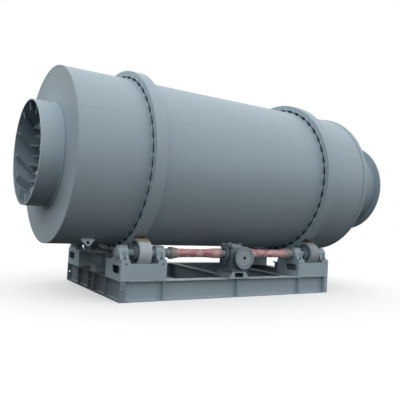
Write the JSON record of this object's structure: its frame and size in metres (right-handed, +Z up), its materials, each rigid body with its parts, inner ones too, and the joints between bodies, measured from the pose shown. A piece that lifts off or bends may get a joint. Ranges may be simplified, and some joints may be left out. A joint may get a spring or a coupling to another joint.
{
  "type": "rotary sand dryer",
  "caption": "Horizontal rotary drum dryer for sand on riding rings and support rollers, turned by cardan shafts from a gear reducer on a steel base frame.",
  "frame": {"origin": "on the ground, at the centre of the base frame's anchor bolt pattern", "axes": "+X along the drum axis towards the discharge end, +Y away from the drive side, +Z up"},
  "size_m": [5.707, 2.4098, 2.9068],
  "materials": {
    "frame_paint": "satin grey-blue paint, lightly dusty",
    "cast_paint": "satin grey-blue paint over rough castings",
    "gearbox_paint": "darker satin grey paint over a rough casting",
    "ring_steel": "satin grey-blue paint, tread worn to brown steel",
    "pad_paint": "satin grey-blue paint",
    "flight_paint": "dull grey paint in shade",
    "roller_steel": "painted casting, tread worn with yellow-brown rust",
    "wrap_film": "crumpled pink packing film",
    "shaft_paint": "satin grey paint",
    "bright_steel": "turned steel, oiled",
    "drum_paint": "satin grey-blue paint, even, faint streaks"
  },
  "bodies": {
    "base": {"near_side_beam": "frame_paint", "far_side_beam": "frame_paint", "front_end_beam": "frame_paint", "rear_end_beam": "frame_paint", "cross_beams": "frame_paint", "front_near_stand": "frame_paint", "front_far_stand": "frame_paint", "rear_near_stand": "frame_paint", "rear_far_stand": "frame_paint", "front_near_bearings": "cast_paint", "front_far_bearings": "cast_paint", "rear_near_bearings": "cast_paint", "rear_far_bearings": "cast_paint", "gearbox_housing": "gearbox_paint", "motor_flange": "cast_paint", "gearbox_bracket": "frame_paint", "front_thrust_stand": "frame_paint", "rear_thrust_stand": "frame_paint"},
    "drum": {"drum_shell_front": "drum_paint", "drum_shell_middle": "drum_paint", "drum_shell_rear": "drum_paint", "inlet_end_plate": "drum_paint", "outlet_end_plate": "drum_paint", "inner_tube": "drum_paint", "guide_vanes": "flight_paint", "lifters": "flight_paint", "discharge_neck": "drum_paint", "discharge_flange": "drum_paint", "rim_band": "drum_paint", "front_riding_ring": "ring_steel", "rear_riding_ring": "ring_steel", "front_ring_pads": "pad_paint", "rear_ring_pads": "pad_paint", "lifting_lug": "drum_paint"},
    "drive_line": {"front_near_roller": "roller_steel", "rear_near_roller": "roller_steel", "front_cardan_shaft": "shaft_paint", "rear_cardan_shaft": "shaft_paint", "front_cardan_wrap": "wrap_film", "rear_cardan_wrap": "wrap_film", "gearbox_output_shaft": "bright_steel"},
    "front_idler": {"front_far_roller": "roller_steel"},
    "rear_idler": {"rear_far_roller": "roller_steel"},
    "front_thrust": {"front_thrust_roller": "roller_steel"},
    "rear_thrust": {"rear_thrust_roller": "roller_steel"}
  },
  "joints": [
    {"name": "drum_spin", "type": "hinge", "parent": "base", "child": "drum", "pos_m": [0, 0, 1.70203], "axis": [1, 0, 0], "continuous": true},
    {"name": "drive_spin", "type": "hinge", "parent": "base", "child": "drive_line", "pos_m": [0, -0.78266, 0.5675], "axis": [1, 0, 0], "continuous": true},
    {"name": "front_idler_spin", "type": "hinge", "parent": "base", "child": "front_idler", "pos_m": [-1.3975, 0.78266, 0.5675], "axis": [1, 0, 0], "continuous": true},
    {"name": "rear_idler_spin", "type": "hinge", "parent": "base", "child": "rear_idler", "pos_m": [1.3975, 0.78266, 0.5675], "axis": [1, 0, 0], "continuous": true},
    {"name": "front_thrust_spin", "type": "hinge", "parent": "base", "child": "front_thrust", "pos_m": [-1.6078, 0, 0.51103], "axis": [0, 0, 1], "continuous": true},
    {"name": "rear_thrust_spin", "type": "hinge", "parent": "base", "child": "rear_thrust", "pos_m": [1.6078, 0, 0.51103], "axis": [0, 0, 1], "continuous": true}
  ],
  "couplings": [
    {"joint": "drive_spin", "follows": "drum_spin", "ratio": -6.9653},
    {"joint": "front_idler_spin", "follows": "drum_spin", "ratio": -6.9653},
    {"joint": "rear_idler_spin", "follows": "drum_spin", "ratio": -6.9653},
    {"joint": "front_thrust_spin", "follows": "drum_spin", "ratio": 8.7815},
    {"joint": "rear_thrust_spin", "follows": "drum_spin", "ratio": -8.7815}
  ]
}
